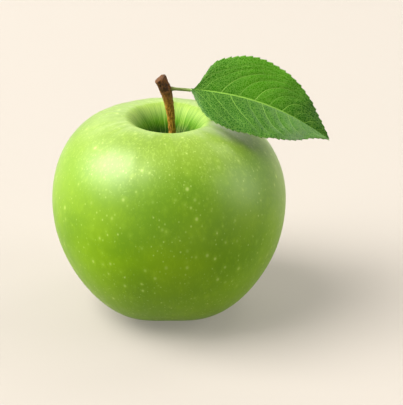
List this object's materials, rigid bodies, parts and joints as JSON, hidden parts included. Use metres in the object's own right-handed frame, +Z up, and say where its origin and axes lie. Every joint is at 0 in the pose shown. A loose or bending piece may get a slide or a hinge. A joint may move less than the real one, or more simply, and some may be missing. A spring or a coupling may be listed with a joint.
{
  "type": "apple",
  "caption": "Whole green apple with its curved woody stem and a toothed leaf on a short stalk, standing on the lobes round its dry calyx.",
  "frame": {"origin": "middle of the bounding box, on the plane the fruit stands on", "axes": "+Z up along the fruit's axis, +X the way the leaf points, which is the longest side of the box, and -Y the side the leaf's near edge hangs towards"},
  "size_m": [0.0936, 0.08, 0.0885],
  "materials": {
    "skin": "waxy satin-gloss green skin with pale specks",
    "stem": "dry brown bark",
    "leaf": "satin green with paler veins",
    "sepal": "dry, matt grey-brown",
    "stamens": "dry, matt dark brown"
  },
  "bodies": {
    "root": {"fruit": "skin", "stem": "stem", "leaf": "leaf", "sepal_1": "sepal", "sepal_2": "sepal", "sepal_3": "sepal", "sepal_4": "sepal", "sepal_5": "sepal", "stamens": "stamens"}
  },
  "joints": []
}
